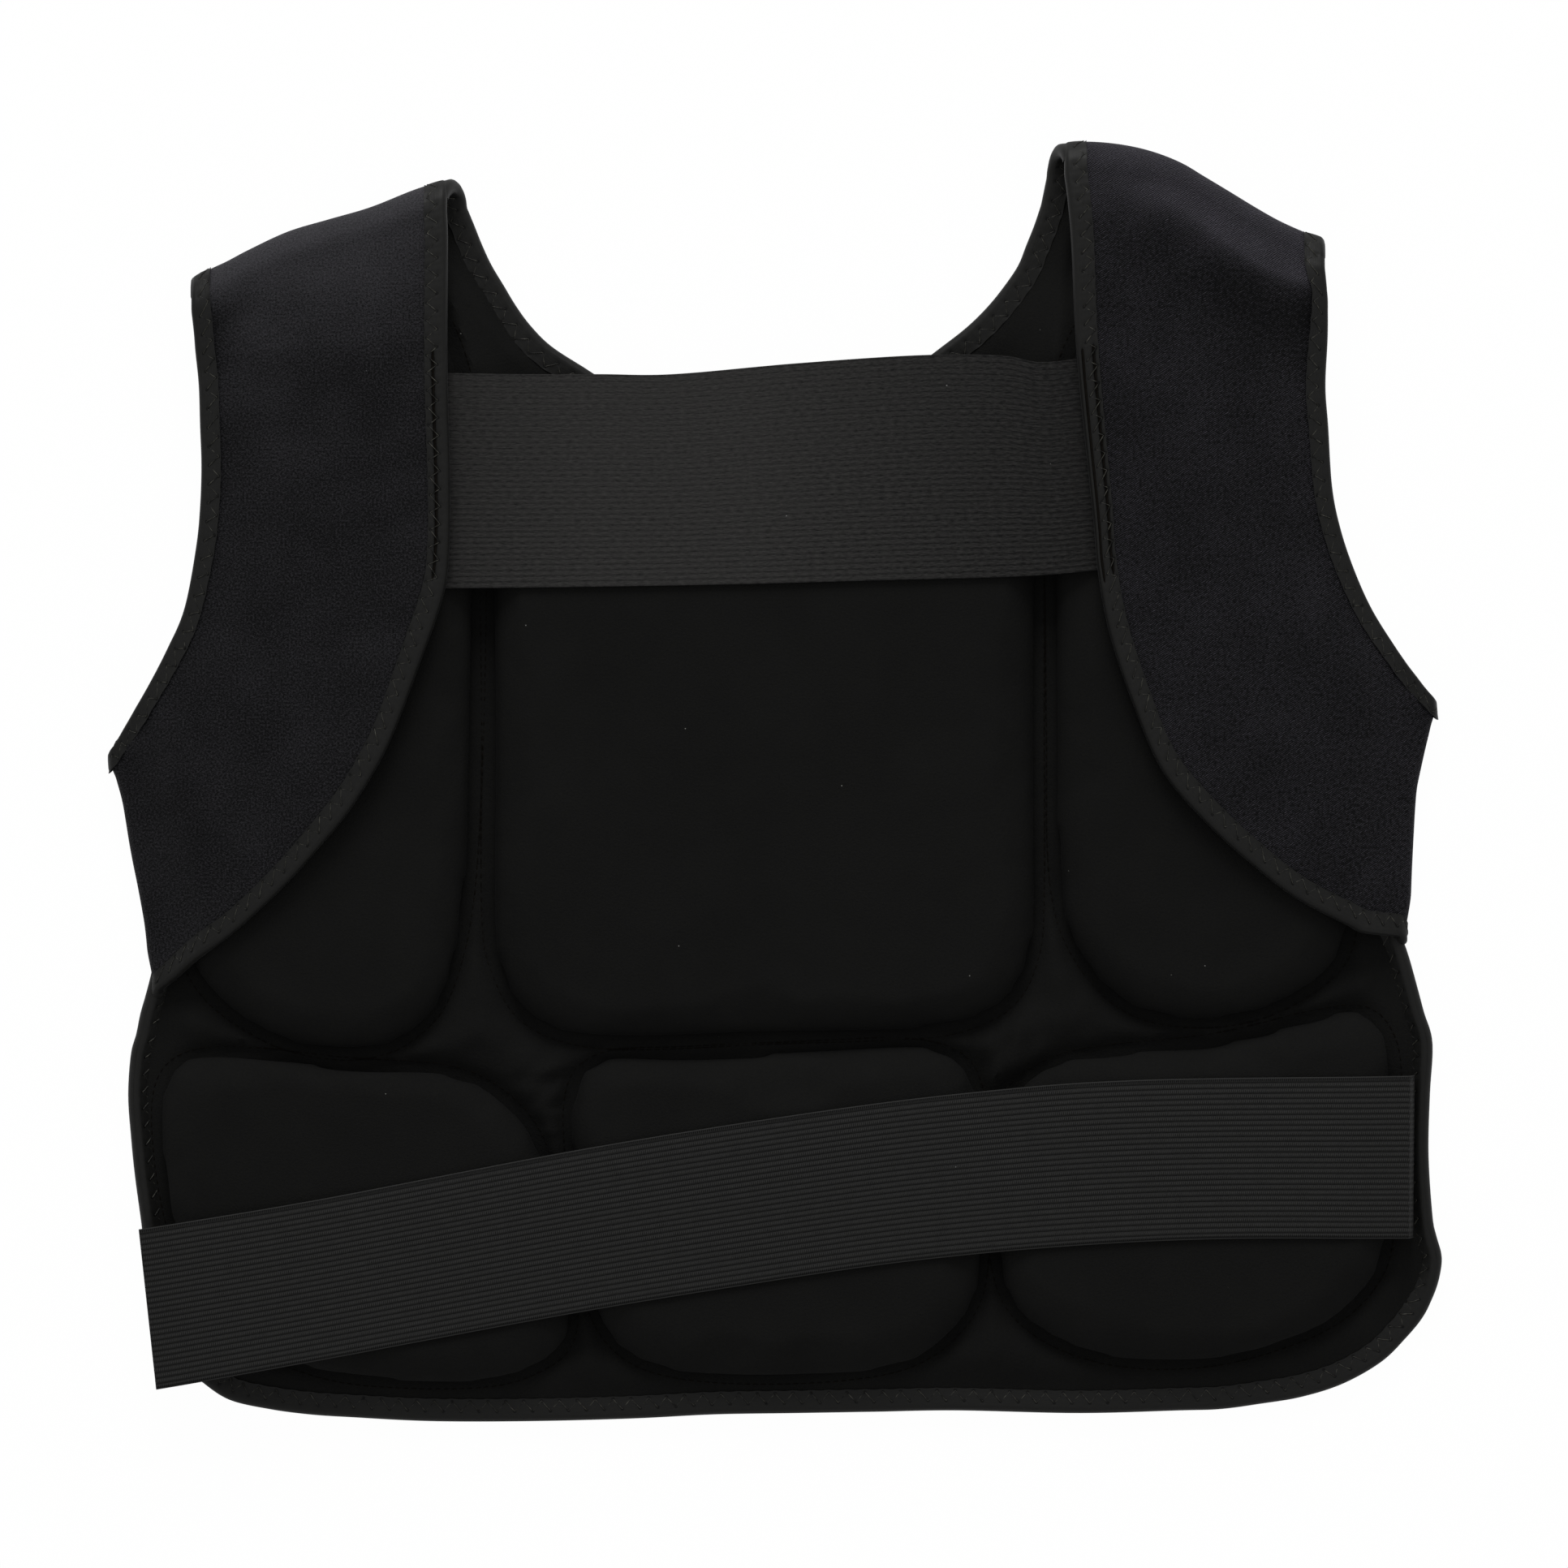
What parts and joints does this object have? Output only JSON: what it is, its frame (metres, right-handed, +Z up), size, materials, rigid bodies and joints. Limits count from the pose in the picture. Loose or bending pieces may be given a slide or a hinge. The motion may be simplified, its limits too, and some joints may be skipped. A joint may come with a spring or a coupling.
{
  "type": "chest protector",
  "caption": "Padded vest-style torso guard laid flat on its outer face, with folded-over shoulder straps, an elastic back band and a waist strap that closes with hook and loop.",
  "frame": {"origin": "middle of the bounding box's bottom face, on the surface that the vest lies on", "axes": "+Z up, out of the padded lining; +Y towards the neck; +X towards the side where the waist strap is sewn on"},
  "size_m": [0.497, 0.474, 0.0231],
  "materials": {
    "neoprene": "matt knit-faced neoprene",
    "lining_cloth": "matt brushed knit",
    "foam": "closed-cell foam",
    "binding_tape": "satin stretch tape",
    "back_elastic": "ribbed elastic",
    "strap_elastic": "ribbed elastic",
    "hook_tape": "hook tape",
    "loop_tape": "napped loop tape"
  },
  "bodies": {
    "front": {"outer_shell": "neoprene", "lining": "lining_cloth", "centre_chest_pad": "foam", "left_chest_pad": "foam", "right_chest_pad": "foam", "left_belly_pad": "foam", "centre_belly_pad": "foam", "right_belly_pad": "foam", "neck_binding": "binding_tape", "left_armhole_binding": "binding_tape", "right_armhole_binding": "binding_tape", "hem_binding": "binding_tape", "loop_patch": "loop_tape"},
    "back": {"left_yoke": "neoprene", "right_yoke": "neoprene", "left_yoke_inner_binding": "binding_tape", "right_yoke_inner_binding": "binding_tape", "left_yoke_arm_binding": "binding_tape", "right_yoke_arm_binding": "binding_tape", "back_band": "back_elastic"},
    "strap": {"waist_strap": "strap_elastic", "hook_patch": "hook_tape"}
  },
  "joints": [
    {"name": "back_lift", "type": "hinge", "parent": "front", "child": "back", "pos_m": [0, 0.2212, 0.0231], "axis": [-0.9989, -0.0465, 0], "range_deg": [0, 25]},
    {"name": "strap_swing", "type": "hinge", "parent": "front", "child": "strap", "pos_m": [0.2365, -0.14, 0.0074], "axis": [0, 1, 0], "range_deg": [0, 120]}
  ]
}
